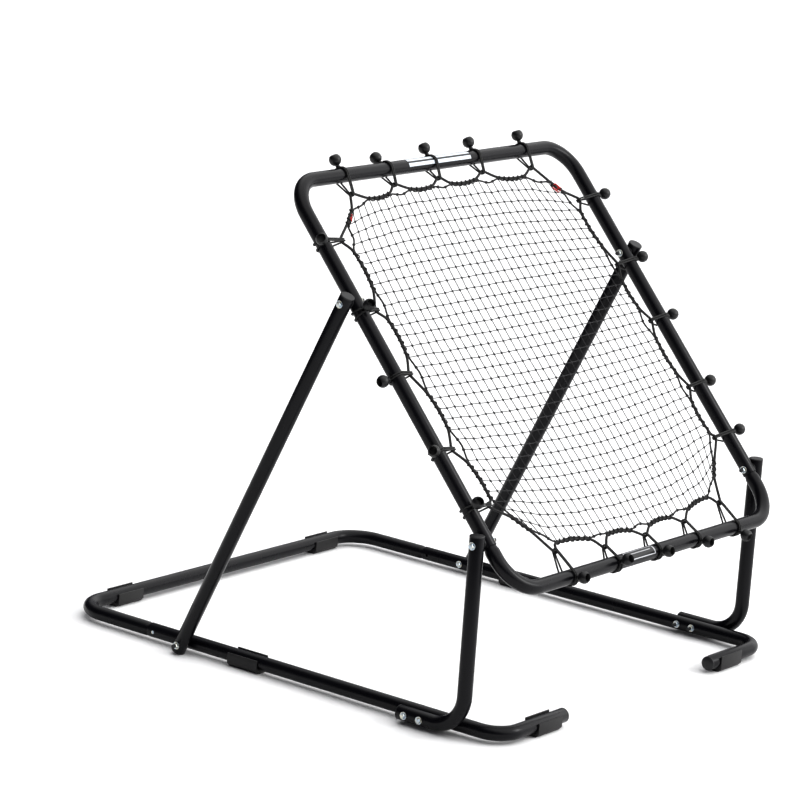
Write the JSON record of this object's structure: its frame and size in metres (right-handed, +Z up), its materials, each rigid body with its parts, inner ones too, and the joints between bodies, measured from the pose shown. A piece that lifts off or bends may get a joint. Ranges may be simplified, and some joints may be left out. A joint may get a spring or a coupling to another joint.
{
  "type": "pitch back rebounder",
  "caption": "Ball rebounder: a knotted net laced by ball bungees into a tilted tube frame, held between front posts and rear struts on a tubular floor base with clip-on feet.",
  "frame": {"origin": "middle of the footprint, on the floor under the feet", "axes": "+Z up, -Y towards the player (the side that the net faces), +X to the object's right as seen from the player"},
  "size_m": [1.1256, 1.2677, 1.1256],
  "materials": {
    "frame_black": "satin black powder coat on round steel tube",
    "clip_black": "moulded black plastic, fine texture",
    "cap_black": "moulded black plastic",
    "zinc": "zinc-plated steel",
    "bungee_black": "black plastic ball on black elastic cord",
    "rope_black": "braided black rope",
    "net_black": "black twisted thread, small knots"
  },
  "bodies": {
    "base": {"rear_base_tube": "frame_black", "left_base_rail": "frame_black", "right_base_rail": "frame_black", "foot_clip_rear_left": "clip_black", "foot_clip_rear_right": "clip_black", "foot_clip_mid_left": "clip_black", "foot_clip_mid_right": "clip_black", "foot_clip_front_left": "clip_black", "foot_clip_front_right": "clip_black", "foot_cap_left": "cap_black", "foot_cap_right": "cap_black", "left_post": "frame_black", "left_post_cap": "cap_black", "left_pivot_bolt": "zinc", "left_post_bolt_1": "zinc", "left_post_bolt_2": "zinc", "left_foot_bolt": "zinc", "left_pivot_spacer": "cap_black", "right_post": "frame_black", "right_post_cap": "cap_black", "right_pivot_bolt": "zinc", "right_post_bolt_1": "zinc", "right_post_bolt_2": "zinc", "right_foot_bolt": "zinc", "right_pivot_spacer": "cap_black"},
    "panel": {"panel_upper_tube": "frame_black", "panel_lower_tube": "frame_black", "net": "net_black", "border_rope": "rope_black", "left_strut_bolt": "zinc", "left_strut_spacer": "cap_black", "right_strut_bolt": "zinc", "right_strut_spacer": "cap_black", "bungee_top_1": "bungee_black", "bungee_top_2": "bungee_black", "bungee_top_3": "bungee_black", "bungee_top_4": "bungee_black", "bungee_top_5": "bungee_black", "bungee_bottom_1": "bungee_black", "bungee_bottom_2": "bungee_black", "bungee_bottom_3": "bungee_black", "bungee_bottom_4": "bungee_black", "bungee_bottom_5": "bungee_black", "bungee_left_1": "bungee_black", "bungee_left_2": "bungee_black", "bungee_left_3": "bungee_black", "bungee_left_4": "bungee_black", "bungee_left_5": "bungee_black", "bungee_right_1": "bungee_black", "bungee_right_2": "bungee_black", "bungee_right_3": "bungee_black", "bungee_right_4": "bungee_black", "bungee_right_5": "bungee_black"},
    "strut_left": {"left_strut": "frame_black", "left_strut_cap": "cap_black", "left_foot_nut": "zinc"},
    "strut_right": {"right_strut": "frame_black", "right_strut_cap": "cap_black", "right_foot_nut": "zinc"}
  },
  "joints": [
    {"name": "panel_tilt", "type": "hinge", "parent": "base", "child": "panel", "pos_m": [0, -0.505, 0.423], "axis": [1, 0, 0], "range_deg": [-4.7, 0]},
    {"name": "strut_left_swing", "type": "hinge", "parent": "panel", "child": "strut_left", "pos_m": [-0.5355, -0.11936, 0.85889], "axis": [1, 0, 0], "range_deg": [0, 9.31]},
    {"name": "strut_right_swing", "type": "hinge", "parent": "panel", "child": "strut_right", "pos_m": [0.5355, -0.11936, 0.85889], "axis": [1, 0, 0], "range_deg": [0, 9.31]}
  ],
  "couplings": [
    {"joint": "strut_left_swing", "follows": "panel_tilt", "ratio": -1.96},
    {"joint": "strut_right_swing", "follows": "panel_tilt", "ratio": -1.96}
  ]
}
